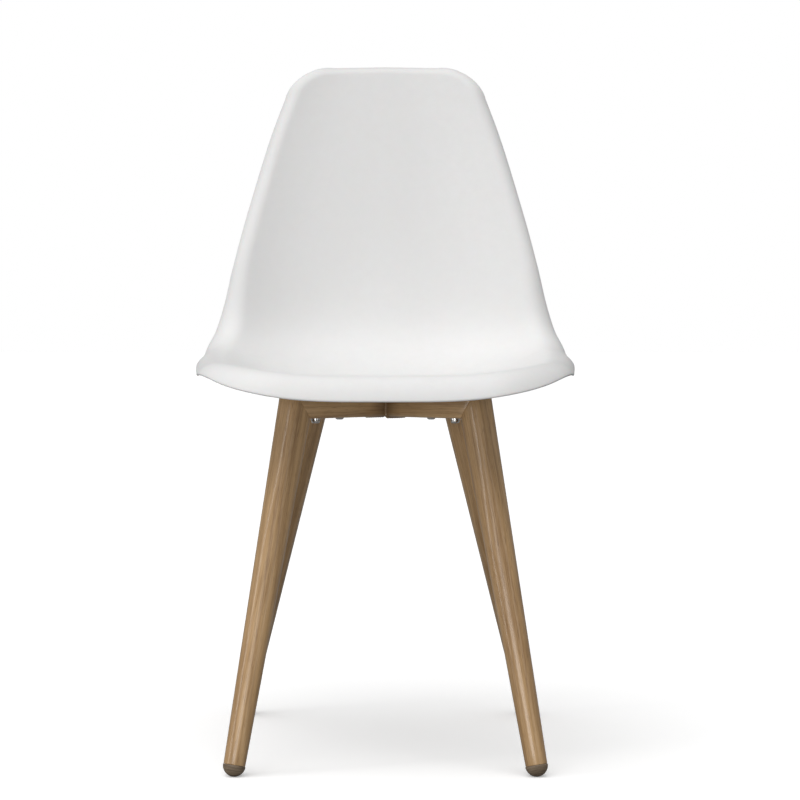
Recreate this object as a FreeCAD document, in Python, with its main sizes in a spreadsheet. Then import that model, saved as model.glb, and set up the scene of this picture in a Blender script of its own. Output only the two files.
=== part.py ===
"""Dining chair: a one-piece moulded shell bolted to an X frame of tapered tube legs.

Millimetres, +Z up, the chair faces -Y. The origin is on the floor, under the middle of the chair's box.
"""
import FreeCAD
import Part
import Sketcher
import math
import os

from FreeCAD import Placement, Rotation, Vector

doc = FreeCAD.newDocument("dining_chair")

# ---------------------------------------------------------------- driving dimensions
SIZES = [
    # the shell: its side profile is a line of changing lean, its outline a rounded trapezoid
    ("shell_wall", 5.0, "thickness of the moulded shell"),
    ("pan_front_y", -229.7, "start of the side profile at the front edge"),
    ("pan_front_z", 448.5, "height of the side profile at the front edge"),
    ("pan_tilt", 7.0, "degrees the pan falls towards the rear at its front edge"),
    ("bend_start", 230.0, "run along the profile where the pan turns up into the back"),
    ("bend_end", 425.0, "run where the turn ends"),
    ("back_lean", 78.0, "degrees from level of the back above the turn"),
    ("back_recline", 6.0, "degrees more that the back leans at its top"),
    ("profile_run", 738.0, "length of the profile from front edge to top edge"),
    ("dish_front", 28.5, "rise of the front corners over the middle of the front edge"),
    ("dish_seat", 48.5, "rise of the side edges where the pan turns up into the back"),
    ("dish_top", 14.0, "forward curl of the side edges at the top"),
    ("flare_front", 3.55, "power of the dish across the front edge: high is a flat middle"),
    ("flare_back", 2.7, "power of the dish across the turn and the back"),
    ("front_bow", 12.0, "how far the front edge stands forward of its corners"),
    ("top_crown", 7.0, "rise of the top edge over its corners"),
    ("corner_front", 90.0, "corner radius of the outline at the front"),
    ("corner_top", 40.5, "corner radius of the outline at the top"),
    ("roll_pan", 23.4, "radius of the rolled edge round the pan"),
    ("roll_back", 15.0, "radius of the rolled edge round the back"),
    ("roll_angle", 78.0, "degrees the edge is rolled through"),
    ("roll_swing", 0.5, "share of the dish's slope that is added to the roll"),
    ("roll_depth", 1.12, "depth of the roll round the pan, as a share of its radius"),
    ("lip_stretch", 0.64, "extra depth of the front lip, as a share of the roll's radius"),
    ("lip_flatness", 4.0, "power with which the front lip fades towards its corners"),
    ("deepens_from", 60.0, "run where the dish begins to deepen behind the front edge"),
    ("deepens_to", 270.0, "run where it is deepest"),
    ("eases_from", 300.0, "run where the dish begins to ease up the back"),
    ("eases_to", 730.0, "run where it is shallowest"),
    ("tightens_from", 330.0, "run where the rolled edge begins to tighten up the back"),
    ("tightens_to", 480.0, "run where it is tightest"),
    ("lip_from", 30.0, "run where the front lip begins to fade along the sides"),
    ("lip_to", 110.0, "run where it has gone"),
    # the frame
    ("crossing_y", -6.95, "where the two bars of the frame cross"),
    ("bar_top", 420.0, "height of the bars' upper face, which carries the shell"),
    ("bar_height", 25.0, "height of a bar's section"),
    ("bar_width", 34.0, "width of a bar's section"),
    ("bar_corner", 4.0, "corner radius of a bar's section"),
    ("tube_wall", 1.5, "wall of the bars and the legs"),
    ("formed_wall", 3.5, "wall of a leg where its top is formed"),
    ("front_reach", 104.0, "sideways and forward distance from the crossing to a front leg's top"),
    ("rear_reach", 90.0, "sideways and backward distance from the crossing to a rear leg's top"),
    ("leg_top_dia", 40.0, "leg's round section where its cone would end over the mitre"),
    ("leg_foot_dia", 24.5, "leg's round section at the foot"),
    ("leg_overrun", 25.0, "how far the leg's cone runs on past its axis's meeting with the bar"),
    ("leg_closed", 32.0, "solid formed end of the leg below that meeting"),
    ("front_foot_x", 168.0, "front foot from the middle plane"),
    ("front_foot_y", 184.6, "front foot ahead of the crossing"),
    ("rear_foot_x", 184.2, "rear foot from the middle plane"),
    ("rear_foot_y", 227.9, "rear foot behind the crossing"),
    ("cap_radius", 12.75, "dome of a foot cap"),
    ("cap_height", 12.4, "height of the dome's centre over the floor"),
    ("plug_length", 16.0, "plug of a foot cap inside the leg"),
    ("plug_gap", 0.25, "clearance of the plug in the leg"),
    # fixings
    ("front_bolt", 81.0, "front bolts: sideways and forward of the crossing"),
    ("rear_bolt", 56.0, "rear bolts: sideways and backward of the crossing"),
    ("bolt_dia", 6.0, "bolt's thread"),
    ("bolt_hole", 6.5, "clearance hole in the bars"),
    ("bolt_length", 35.0, "bolt under its head"),
    ("head_dia", 10.5, "button head"),
    ("head_height", 3.3, "button head"),
    ("head_crown", 6.3, "flat on the button head"),
    ("head_rim", 1.2, "upright rim of the button head"),
    ("thread_gap", 0.05, "clearance of the thread in its insert"),
    ("socket_flats", 4.0, "hexagon socket across flats"),
    ("socket_depth", 2.0, "hexagon socket"),
    ("flat_washer_dia", 12.0, "flat washer"),
    ("flat_washer_thick", 1.2, "flat washer"),
    ("spring_washer_dia", 10.5, "spring washer"),
    ("spring_washer_thick", 1.5, "spring washer"),
    ("spring_washer_slot", 1.2, "gap in the spring washer"),
    ("washer_bore", 6.4, "bore of both washers"),
    ("insert_dia", 8.5, "threaded insert moulded into the shell"),
    ("insert_length", 7.0, "threaded insert"),
    ("boss_dia", 19.0, "boss under the shell round an insert"),
]

sheet = doc.addObject("Spreadsheet::Sheet", "sizes")
for row, (alias, number, note) in enumerate(SIZES, start=1):
    sheet.set(f"A{row}", alias)
    sheet.set(f"B{row}", str(number))
    sheet.set(f"C{row}", note)
    sheet.setAlias(f"B{row}", alias)
doc.recompute()


def size(alias):
    return float(sheet.get(alias))


def bind(thing, **cells):
    """Bind properties of an object, or named constraints of a sketch, to expressions over the sheet."""
    for name, expression in cells.items():
        path = f"Constraints.{name}" if thing.isDerivedFrom("Sketcher::SketchObject") else name
        thing.setExpression(path, expression)


SHEET = "sizes."


# ---------------------------------------------------------------- the shell's surface
# Half widths of the outline along the profile: (run, half width).
HALF_WIDTHS = [
    (-30.0, 202.0), (60.0, 200.5), (225.0, 211.0), (305.0, 206.0), (355.0, 197.0),
    (405.0, 190.0), (455.0, 183.0), (545.0, 163.5), (635.0, 141.0), (725.0, 111.5), (785.0, 93.5),
]
PROFILE_START = -60.0
PROFILE_STEP = 1.0


def blend(start, end, run):
    """0 before start, 1 after end, level at both."""
    t = min(max((run - start) / (end - start), 0.0), 1.0)
    return t * t * (3.0 - 2.0 * t)


def lean(run):
    """Angle of the side profile from level, in radians."""
    start, end = size("bend_start"), size("bend_end")
    degrees = -size("pan_tilt") * max(1.0 - run / start, 0.0)
    degrees += size("back_lean") * blend(start, end, run)
    degrees -= size("back_recline") * max(run - end, 0.0) / (size("profile_run") - end)
    return math.radians(degrees)


def walk_profile():
    """Points (y, z) of the side profile, one each PROFILE_STEP, by adding up its lean."""
    count = int((size("profile_run") - 2.0 * PROFILE_START) / PROFILE_STEP)
    points = [(0.0, 0.0)]
    for i in range(count):
        angle = lean(PROFILE_START + (i + 0.5) * PROFILE_STEP)
        y, z = points[-1]
        points.append((y + PROFILE_STEP * math.cos(angle), z + PROFILE_STEP * math.sin(angle)))
    y0, z0 = points[int(-PROFILE_START / PROFILE_STEP)]
    return [(y - y0 + size("pan_front_y"), z - z0 + size("pan_front_z")) for y, z in points]


PROFILE = walk_profile()


def profile(run):
    place = (run - PROFILE_START) / PROFILE_STEP
    i = min(max(int(place), 0), len(PROFILE) - 2)
    t = place - i
    (y0, z0), (y1, z1) = PROFILE[i], PROFILE[i + 1]
    return y0 + t * (y1 - y0), z0 + t * (z1 - z0)


def half_width(run):
    """Smooth curve through HALF_WIDTHS: a cubic between stations, its slopes taken from the neighbours."""
    last = len(HALF_WIDTHS) - 1
    i = 0
    while i < last - 1 and run > HALF_WIDTHS[i + 1][0]:
        i += 1

    def slope(k):
        low, high = HALF_WIDTHS[max(k - 1, 0)], HALF_WIDTHS[min(k + 1, last)]
        return (high[1] - low[1]) / (high[0] - low[0])

    (run0, width0), (run1, width1) = HALF_WIDTHS[i], HALF_WIDTHS[i + 1]
    span = run1 - run0
    t = (run - run0) / span
    return (
        (2.0 * t**3 - 3.0 * t**2 + 1.0) * width0
        + (t**3 - 2.0 * t**2 + t) * span * slope(i)
        + (3.0 * t**2 - 2.0 * t**3) * width1
        + (t**3 - t**2) * span * slope(i + 1)
    )


def tightened(run):
    """Share of the way from the pan's wide roll to the back's tight one."""
    return blend(size("tightens_from"), size("tightens_to"), run)


def roll_radius(run):
    return size("roll_pan") + (size("roll_back") - size("roll_pan")) * tightened(run)


def roll_reach(run):
    """How far the rolled edge stands out from the line where the roll begins."""
    return roll_radius(run) * math.sin(math.radians(size("roll_angle")))


def beyond(x, run):
    """Distance outwards from the line where the roll begins, negative on the field inside it."""
    width = half_width(run) - roll_reach(run)
    if run < size("profile_run") / 2.0:
        corner = size("corner_front") - roll_reach(0.0)
        end = run - size("front_bow") * (x / width) ** 2 - roll_reach(0.0)
    else:
        top = size("profile_run")
        corner = size("corner_top") - roll_reach(top)
        end = top - size("top_crown") * (x / width) ** 2 - roll_reach(top) - run
    across, along = corner - (width - abs(x)), corner - end
    return math.hypot(max(across, 0.0), max(along, 0.0)) + min(max(across, along), 0.0) - corner


def outward(x, run, step=0.5):
    """Gradient of beyond: how fast that distance grows sideways and along the profile."""
    grade_x = (beyond(x + step, run) - beyond(x - step, run)) / (2.0 * step)
    grade_run = (beyond(x, run + step) - beyond(x, run - step)) / (2.0 * step)
    return grade_x, grade_run


def dish(x, run):
    """Rise of the sitting face over the profile, and its slope towards the sides."""
    deepened = blend(size("deepens_from"), size("deepens_to"), run)
    depth = size("dish_front") + (size("dish_seat") - size("dish_front")) * deepened
    depth += (size("dish_top") - size("dish_seat")) * blend(size("eases_from"), size("eases_to"), run)
    power = size("flare_front") + (size("flare_back") - size("flare_front")) * deepened
    width = half_width(run)
    share = abs(x) / width
    return depth * share**power, depth * power / width * share ** (power - 1.0)


def roll_end(x, run):
    """Distance beyond the roll's start where the edge ends: further where the dish is steeper."""
    slope = dish(x, run)[1] * abs(outward(x, run)[0])
    return roll_radius(run) * (math.radians(size("roll_angle")) + size("roll_swing") * math.atan(slope))


def field(x, run):
    """Sitting face without its rolled edge."""
    y, z = profile(run)
    angle, rise = lean(run), dish(x, run)[0]
    return Vector(x, y - rise * math.sin(angle), z + rise * math.cos(angle))


def across_face(face, x, run, step=0.5):
    """Unit normal of a face given as a function of (x, run), towards the sitter."""
    along_x = face(x + step, run) - face(x - step, run)
    along_run = face(x, run + step) - face(x, run - step)
    return along_x.cross(along_run).normalize()


def sitting_face(x, run):
    """Point of the finished sitting face, for a point (x, run) of the shell laid flat."""
    out = beyond(x, run)
    if out <= 0.0:
        return field(x, run)
    grade_x, grade_run = outward(x, run)
    grade = math.hypot(grade_x, grade_run)
    radius = roll_radius(run)
    angle = out / grade / radius
    back = (out / grade - radius * math.sin(angle)) / grade
    x, run = x - grade_x * back, run - grade_run * back
    lip = 1.0 - blend(size("lip_from"), size("lip_to"), run)
    lip *= 1.0 - (abs(x) / half_width(run)) ** size("lip_flatness")
    depth = size("roll_depth") + (1.0 - size("roll_depth")) * tightened(run) + size("lip_stretch") * lip
    drop = depth * radius * (1.0 - math.cos(angle))
    return field(x, run) - across_face(field, x, run) * drop


def under_face(x, run):
    return sitting_face(x, run) - across_face(sitting_face, x, run) * size("shell_wall")


REACH = 300.0
HALVINGS = 30


def flat_edge(x, run, toward_x, toward_run):
    """Point where a line on the flat shell, from (x, run) along a direction, meets the rolled edge's end."""
    low, high = 0.0, REACH
    for _ in range(HALVINGS):
        middle = (low + high) / 2.0
        at_x, at_run = x + middle * toward_x, run + middle * toward_run
        if beyond(at_x, at_run) < roll_end(at_x, at_run):
            low = middle
        else:
            high = middle
    return x + low * toward_x, run + low * toward_run


def flat_corner(run, corner, toward_run):
    """Corner point of the flat shell, where a side edge hands over to the front or the top edge."""
    return flat_edge(half_width(run) - corner, run, math.sqrt(0.5), toward_run * math.sqrt(0.5))


FRONT_CORNER = flat_corner(size("corner_front"), size("corner_front"), -1.0)
TOP_CORNER = flat_corner(size("profile_run") - size("corner_top"), size("corner_top"), 1.0)
MIDDLE_RUN = size("profile_run") / 2.0
GRID_ACROSS = 33
GRID_ALONG = 49
CROWDING = 0.55


def flat_point(a, b):
    """Point of the flat shell for a from -1, left, to 1, right, and b from 0, front, to 1, top."""
    (front_x, front_run), (top_x, top_run) = FRONT_CORNER, TOP_CORNER
    side_x, side_run = flat_edge(0.0, front_run + b * (top_run - front_run), 1.0, 0.0)
    fore_x, fore_run = flat_edge(a * front_x, MIDDLE_RUN / 2.0, 0.0, -1.0)
    head_x, head_run = flat_edge(a * top_x, 3.0 * MIDDLE_RUN / 2.0, 0.0, 1.0)
    x = a * side_x + (1.0 - b) * fore_x + b * head_x - a * ((1.0 - b) * front_x + b * top_x)
    run = side_run + (1.0 - b) * fore_run + b * head_run - ((1.0 - b) * front_run + b * top_run)
    return x, run


def crowded(count):
    """Steps from -1 to 1 that lie closer together towards both ends."""
    even = [2.0 * i / (count - 1) - 1.0 for i in range(count)]
    return [u + CROWDING * (math.sin(u * math.pi / 2.0) - u) for u in even]


def surface_through(face):
    """Smooth surface through a face's points at a grid on the flat shell."""
    along = [(b + 1.0) / 2.0 for b in crowded(GRID_ALONG)]
    grid = [[face(*flat_point(a, b)) for b in along] for a in crowded(GRID_ACROSS)]
    surface = Part.BSplineSurface()
    surface.interpolate(grid)
    return surface.toShape()


def shell_skin():
    """The moulded shell as a solid: sitting face, under face and the edge between them."""
    upper, lower = surface_through(sitting_face), surface_through(under_face)
    walls = []
    for edge in upper.Edges:
        middle = edge.valueAt((edge.FirstParameter + edge.LastParameter) / 2.0)
        partner = min(lower.Edges, key=lambda other: other.distToShape(Part.Vertex(middle))[0])
        walls.append(Part.makeRuledSurface(edge, partner))
    skin = Part.Shell([upper, lower] + [wall.Faces[0] for wall in walls])
    skin.sewShape()
    solid = Part.Solid(skin)
    if solid.Volume < 0.0:
        solid.reverse()
    return solid


# ---------------------------------------------------------------- small builders
NODES = {}


def node(thing, name):
    thing.Label = name
    NODES[name] = thing
    return thing


def add(kind, name, **cells):
    """A Part primitive whose sizes are expressions over the sheet."""
    thing = doc.addObject(kind, name)
    bind(thing, **cells)
    return thing


def cut(name, base, tool):
    thing = doc.addObject("Part::Cut", name)
    thing.Base, thing.Tool = base, tool
    return thing


def compound(name, parts):
    thing = doc.addObject("Part::Compound", name)
    thing.Links = parts
    return thing


def origin_plane(body, role):
    return next(part for part in body.Origin.OriginFeatures if part.Role == role)


def sketch_on(body, role, name):
    sketch = body.newObject("Sketcher::SketchObject", name)
    sketch.AttachmentSupport = [(origin_plane(body, role), "")]
    sketch.MapMode = "FlatFace"
    return sketch


def rectangle(sketch, width, height):
    """Rectangle centred on the sketch's origin, its two sizes expressions over the sheet."""
    corners = [(-5.0, -5.0), (5.0, -5.0), (5.0, 5.0), (-5.0, 5.0)]
    for i in range(4):
        start, end = corners[i], corners[(i + 1) % 4]
        sketch.addGeometry(Part.LineSegment(Vector(*start, 0.0), Vector(*end, 0.0)), False)
    for i in range(4):
        sketch.addConstraint(Sketcher.Constraint("Coincident", i, 2, (i + 1) % 4, 1))
        sketch.addConstraint(Sketcher.Constraint("Vertical" if i % 2 else "Horizontal", i))
    sketch.addConstraint(Sketcher.Constraint("Symmetric", 0, 1, 2, 1, -1, 1))
    across = sketch.addConstraint(Sketcher.Constraint("DistanceX", 0, 1, 0, 2, 10.0))
    upright = sketch.addConstraint(Sketcher.Constraint("DistanceY", 1, 1, 1, 2, 10.0))
    sketch.renameConstraint(across, "width")
    sketch.renameConstraint(upright, "height")
    bind(sketch, width=width, height=height)


def circle(sketch, x, diameter):
    """Circle on the sketch's x axis."""
    index = sketch.addGeometry(Part.Circle(Vector(10.0, 0.0, 0.0), Vector(0.0, 0.0, 1.0), 3.0), False)
    sketch.addConstraint(Sketcher.Constraint("PointOnObject", index, 3, -1))
    place = sketch.addConstraint(Sketcher.Constraint("DistanceX", -1, 1, index, 3, 10.0))
    across = sketch.addConstraint(Sketcher.Constraint("Diameter", index, 6.0))
    sketch.renameConstraint(place, f"place{index}")
    sketch.renameConstraint(across, f"across{index}")
    bind(sketch, **{f"place{index}": x, f"across{index}": diameter})


def pocket(body, sketch, name):
    """Cut a sketch right through its body, both ways."""
    thing = body.newObject("PartDesign::Pocket", name)
    thing.Profile = sketch
    thing.Type = "ThroughAll"
    thing.Midplane = True
    return thing


def turned(name, radii, heights):
    """Body turned about Z from (radius, height) corners, each held by two named sizes over the sheet."""
    body = doc.addObject("PartDesign::Body", name)
    sketch = sketch_on(body, "XZ_Plane", f"{name}_outline")
    count = len(radii)
    for i in range(count):
        start = Vector(5.0 + 2.0 * math.cos(i), 2.0 * math.sin(i), 0.0)
        end = Vector(5.0 + 2.0 * math.cos(i + 1), 2.0 * math.sin(i + 1), 0.0)
        sketch.addGeometry(Part.LineSegment(start, end), False)
    for i in range(count):
        sketch.addConstraint(Sketcher.Constraint("Coincident", i, 2, (i + 1) % count, 1))
    for i in range(count):
        out = sketch.addConstraint(Sketcher.Constraint("DistanceX", -1, 1, i, 1, 1.0))
        up = sketch.addConstraint(Sketcher.Constraint("DistanceY", -1, 1, i, 1, 1.0))
        sketch.renameConstraint(out, f"radius{i}")
        sketch.renameConstraint(up, f"height{i}")
        bind(sketch, **{f"radius{i}": radii[i], f"height{i}": heights[i]})
    doc.recompute()
    turn = body.newObject("PartDesign::Revolution", f"{name}_turn")
    turn.Profile = sketch
    turn.ReferenceAxis = (sketch, ["V_Axis"])
    turn.Angle = 360.0
    return body


# ---------------------------------------------------------------- places shared by the frame's pieces
CROSSING = Vector(0.0, size("crossing_y"), size("bar_top") - size("bar_height") / 2.0)
DIAGONAL = math.sqrt(2.0)
CORNERS = {
    # name: (sideways, forward or back, reach cell, foot cells, bolt cell)
    "front_left": (-1.0, -1.0, "front_reach", "front_foot", "front_bolt"),
    "front_right": (1.0, -1.0, "front_reach", "front_foot", "front_bolt"),
    "rear_left": (-1.0, 1.0, "rear_reach", "rear_foot", "rear_bolt"),
    "rear_right": (1.0, 1.0, "rear_reach", "rear_foot", "rear_bolt"),
}


def leg_ends(corner):
    """Foot's dome centre, and the point where the leg's axis meets the bar's."""
    side, end, reach, foot, _ = CORNERS[corner]
    bottom = Vector(side * size(f"{foot}_x"), CROSSING.y + end * size(f"{foot}_y"), size("cap_height"))
    top = CROSSING + Vector(side, end, 0.0) * size(reach)
    return bottom, top


def leg_placement(corner):
    """Local Z runs up the leg from the foot's dome, local Y level across the bar."""
    side, end = CORNERS[corner][:2]
    bottom, top = leg_ends(corner)
    return Placement(bottom, Rotation(Vector(), Vector(-end, side, 0.0), top - bottom, "ZYX"))


def bolt_point(corner, height):
    side, end, _, _, bolt = CORNERS[corner]
    return Vector(side * size(bolt), CROSSING.y + end * size(bolt), height)


BLOCK = 120.0


def block_at(name, placement, corner):
    """Large block whose local lowest corner is the one given."""
    block = doc.addObject("Part::Box", name)
    block.Length = block.Width = block.Height = BLOCK
    block.Placement = placement.multiply(Placement(corner, Rotation()))
    return block


def mitre_block(corner, keeps):
    """Block with one face on the mitre between leg and bar, to cut away the other piece's side."""
    side, end = CORNERS[corner][:2]
    bottom, top = leg_ends(corner)
    level = Vector(-end, side, 0.0).normalize()
    outward = Vector(side, end, 0.0).normalize()
    down_leg = bottom - top
    down_leg = (down_leg - level * down_leg.dot(level)).normalize()
    mitre = (outward - down_leg).normalize()
    normal = mitre.cross(level).normalize()
    if (normal.dot(outward) > 0.0) == (keeps == "leg"):
        normal = -normal
    placement = Placement(top, Rotation(mitre, Vector(), normal, "ZXY"))
    return block_at(f"mitre_{corner}_{keeps}", placement, Vector(-BLOCK / 2.0, -BLOCK / 2.0, 0.0))


# ---------------------------------------------------------------- the shell with its bosses
def make_shell():
    skin = doc.addObject("Part::Feature", "shell_skin")
    skin.Shape = shell_skin()
    bosses, bores = [], []
    for corner in CORNERS:
        foot = bolt_point(corner, size("bar_top"))
        pan = range(int(size("bend_end")))
        run = min(pan, key=lambda candidate: abs(field(foot.x, candidate).y - foot.y))
        rise = field(foot.x, run).z - size("bar_top")
        boss = add("Part::Cylinder", f"boss_{corner}", Radius=f"{SHEET}boss_dia / 2")
        boss.Height = rise - size("shell_wall") / 2.0
        bore = add(
            "Part::Cylinder", f"bore_{corner}",
            Radius=f"{SHEET}insert_dia / 2", Height=f"{SHEET}insert_length",
        )
        boss.Placement.Base = bore.Placement.Base = foot
        bosses.append(boss)
        bores.append(bore)
    body = doc.addObject("Part::MultiFuse", "shell_and_bosses")
    body.Shapes = [skin] + bosses
    node(cut("seat_shell_cut", body, compound("insert_bores", bores)), "seat_shell")


# ---------------------------------------------------------------- the frame
def make_bar(name, start, length, angle, bolts):
    """Rectangular tube along local X from start, with a bolt hole through it at each of the places given."""
    body = doc.addObject("PartDesign::Body", name)
    section = sketch_on(body, "YZ_Plane", f"{name}_section")
    rectangle(section, f"{SHEET}bar_width", f"{SHEET}bar_height")
    section.setExpression("AttachmentOffset.Base.z", start)
    bar = body.newObject("PartDesign::Pad", f"{name}_pad")
    bar.Profile = section
    bar.setExpression("Length", length)
    doc.recompute()
    long_edges = [
        f"Edge{i}"
        for i, edge in enumerate(bar.Shape.Edges, start=1)
        if abs(edge.tangentAt(edge.FirstParameter).x) > 0.99
    ]
    rounded = body.newObject("PartDesign::Fillet", f"{name}_rounding")
    rounded.Base = (bar, long_edges)
    rounded.setExpression("Radius", f"{SHEET}bar_corner")
    hollow = sketch_on(body, "YZ_Plane", f"{name}_hollow")
    inside = f"- 2 * {SHEET}tube_wall"
    rectangle(hollow, f"{SHEET}bar_width {inside}", f"{SHEET}bar_height {inside}")
    pocket(body, hollow, f"{name}_bore")
    holes = sketch_on(body, "XY_Plane", f"{name}_holes")
    for place in bolts:
        circle(holes, place, f"{SHEET}bolt_hole")
    pocket(body, holes, f"{name}_bolt_holes")
    body.Placement = Placement(CROSSING, Rotation(Vector(0.0, 0.0, 1.0), angle))
    return body


def make_bars():
    """One bar runs from corner to corner, and a shorter arm is welded to each of its sides."""
    spare = f"{SHEET}leg_overrun"
    front, rear = f"{SHEET}front_reach * sqrt(2)", f"{SHEET}rear_reach * sqrt(2)"
    front_bolt, rear_bolt = f"{SHEET}front_bolt * sqrt(2)", f"{SHEET}rear_bolt * sqrt(2)"
    through = make_bar(
        "through_bar", f"-({rear} + {spare})", f"{front} + {rear} + 2 * {spare}", 225.0,
        [front_bolt, f"-{rear_bolt}"],
    )
    through = cut("through_bar_front", through, mitre_block("front_left", "bar"))
    node(cut("through_bar_rear", through, mitre_block("rear_right", "bar")), "crossbar_through")
    side = f"{SHEET}bar_width / 2"
    for name, corner, reach, bolt, angle in (
        ("front_arm", "front_right", front, front_bolt, 315.0),
        ("rear_arm", "rear_left", rear, rear_bolt, 135.0),
    ):
        arm = make_bar(name, side, f"{reach} + {spare} - {side}", angle, [bolt])
        node(cut(f"{name}_mitred", arm, mitre_block(corner, "bar")), f"crossbar_{name}")


def make_leg(corner):
    """Tapered round tube, closed and mitred at the top, cut level with the bar's upper face."""
    bottom, top = leg_ends(corner)
    length = top.distanceToPoint(bottom)
    outer = add(
        "Part::Cone", f"{corner}_outer",
        Radius1=f"{SHEET}leg_foot_dia / 2", Radius2=f"{SHEET}leg_top_dia / 2",
        Height=f"{length} + {SHEET}leg_overrun",
    )
    inner = add(
        "Part::Cone", f"{corner}_inner",
        Radius1=f"{SHEET}leg_foot_dia / 2 - {SHEET}tube_wall",
        Radius2=f"{SHEET}leg_top_dia / 2 - {SHEET}formed_wall",
        Height=f"{length} - {SHEET}leg_closed",
    )
    tube = cut(f"{corner}_tube", outer, inner)
    tube.Placement = leg_placement(corner)
    mitred = cut(f"{corner}_mitred", tube, mitre_block(corner, "leg"))
    level = Placement(Vector(top.x, top.y, size("bar_top")), Rotation())
    lid = block_at(f"{corner}_lid", level, Vector(-BLOCK / 2.0, -BLOCK / 2.0, 0.0))
    node(cut(f"{corner}_trimmed", mitred, lid), f"{corner}_leg")


def make_cap(corner):
    """Domed foot cap with a plug inside the leg, flat where it stands on the floor."""
    bottom = leg_ends(corner)[0]
    dome = add("Part::Sphere", f"{corner}_ball", Radius=f"{SHEET}cap_radius")
    dome.Placement.Base = bottom
    above = block_at(f"{corner}_above", leg_placement(corner), Vector(-BLOCK / 2.0, -BLOCK / 2.0, 0.0))
    ground = Placement(Vector(bottom.x, bottom.y, 0.0), Rotation())
    below = block_at(f"{corner}_floor", ground, Vector(-BLOCK / 2.0, -BLOCK / 2.0, -BLOCK))
    flat = cut(f"{corner}_dome_flat", cut(f"{corner}_dome", dome, above), below)
    plug = add(
        "Part::Cylinder", f"{corner}_plug",
        Radius=f"{SHEET}leg_foot_dia / 2 - {SHEET}tube_wall - {SHEET}plug_gap", Height=f"{SHEET}plug_length",
    )
    plug.Placement = leg_placement(corner)
    cap = doc.addObject("Part::MultiFuse", f"{corner}_cap")
    cap.Shapes = [flat, plug]
    node(cap, f"{corner}_foot_cap")


# ---------------------------------------------------------------- fixings, one of each kind at every corner
def ring(name, diameter, thickness):
    """Flat ring with a washer's bore, its diameter and thickness given as cells."""
    height = f"{SHEET}{thickness}"
    disc = add("Part::Cylinder", f"{name}_disc", Radius=f"{SHEET}{diameter} / 2", Height=height)
    bore = add("Part::Cylinder", f"{name}_bore", Radius=f"{SHEET}washer_bore / 2", Height=height)
    return cut(name, disc, bore)


def make_fixings():
    bar_bottom = size("bar_top") - size("bar_height")
    spring_at = bar_bottom - size("flat_washer_thick")
    head_at = spring_at - size("spring_washer_thick")
    bolts, springs, flats, inserts = [], [], [], []
    for corner in CORNERS:
        thread = f"{SHEET}bolt_dia / 2 - {SHEET}thread_gap"
        head, crown = f"{SHEET}head_dia / 2", f"{SHEET}head_crown / 2"
        bolt = turned(
            f"bolt_{corner}",
            ["0", crown, head, head, thread, thread, "0"],
            [f"-{SHEET}head_height", f"-{SHEET}head_height", f"-{SHEET}head_rim", "0", "0",
             f"{SHEET}bolt_length", f"{SHEET}bolt_length"],
        )
        socket = doc.addObject("Part::Prism", f"socket_{corner}")
        socket.Polygon = 6
        bind(socket, Circumradius=f"{SHEET}socket_flats / sqrt(3)", Height=f"{SHEET}socket_depth")
        socket.Placement.Base = Vector(0.0, 0.0, -size("head_height"))
        whole = cut(f"bolt_whole_{corner}", bolt, socket)
        whole.Placement.Base = bolt_point(corner, head_at)
        bolts.append(whole)

        flat = ring(f"flat_washer_{corner}", "flat_washer_dia", "flat_washer_thick")
        flat.Placement.Base = bolt_point(corner, spring_at)
        flats.append(flat)

        coil = ring(f"spring_ring_{corner}", "spring_washer_dia", "spring_washer_thick")
        slot = add(
            "Part::Box", f"spring_slot_{corner}", Length=f"{SHEET}spring_washer_dia",
            Width=f"{SHEET}spring_washer_slot", Height=f"{SHEET}spring_washer_thick",
        )
        slot.Placement.Base = Vector(0.0, -size("spring_washer_slot") / 2.0, 0.0)
        spring = cut(f"spring_washer_{corner}", coil, slot)
        spring.Placement.Base = bolt_point(corner, head_at)
        springs.append(spring)

        bore, outside = f"{SHEET}bolt_dia / 2", f"{SHEET}insert_dia / 2"
        insert = turned(
            f"insert_{corner}",
            [bore, outside, outside, bore],
            ["0", "0", f"{SHEET}insert_length", f"{SHEET}insert_length"],
        )
        insert.Placement.Base = bolt_point(corner, size("bar_top"))
        inserts.append(insert)
    node(compound("bolts", bolts), "seat_bolts")
    node(compound("springs", springs), "spring_washers")
    node(compound("flats", flats), "flat_washers")
    node(compound("inserts", inserts), "threaded_inserts")


# ---------------------------------------------------------------- build, check, write
make_shell()
make_bars()
for corner_name in CORNERS:
    make_leg(corner_name)
    make_cap(corner_name)
make_fixings()
doc.recompute()

for thing in doc.Objects:
    if "Invalid" in thing.State or "Error" in thing.State:
        raise RuntimeError(f"{thing.Name} did not compute: {thing.State}")
for name, thing in NODES.items():
    if thing.Shape.isNull() or not thing.Shape.isValid() or not thing.Shape.Solids:
        raise RuntimeError(f"{name} has no valid solid")

os.makedirs("parts", exist_ok=True)
chair = Part.makeCompound([thing.Shape for thing in NODES.values()])
for name, thing in NODES.items():
    thing.Shape.exportStep(f"parts/{name}.step")
    print(f"{name}: {len(thing.Shape.Solids)} solid(s), {thing.Shape.Volume / 1000.0:.1f} cm3")
box = chair.BoundBox
print(f"x {box.XMin:.2f}..{box.XMax:.2f}  y {box.YMin:.2f}..{box.YMax:.2f}  z {box.ZMin:.2f}..{box.ZMax:.2f}")
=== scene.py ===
"""Dining chair: moulded shell, oak-film tube frame, foot caps and fixings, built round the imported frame."""

import math

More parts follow.
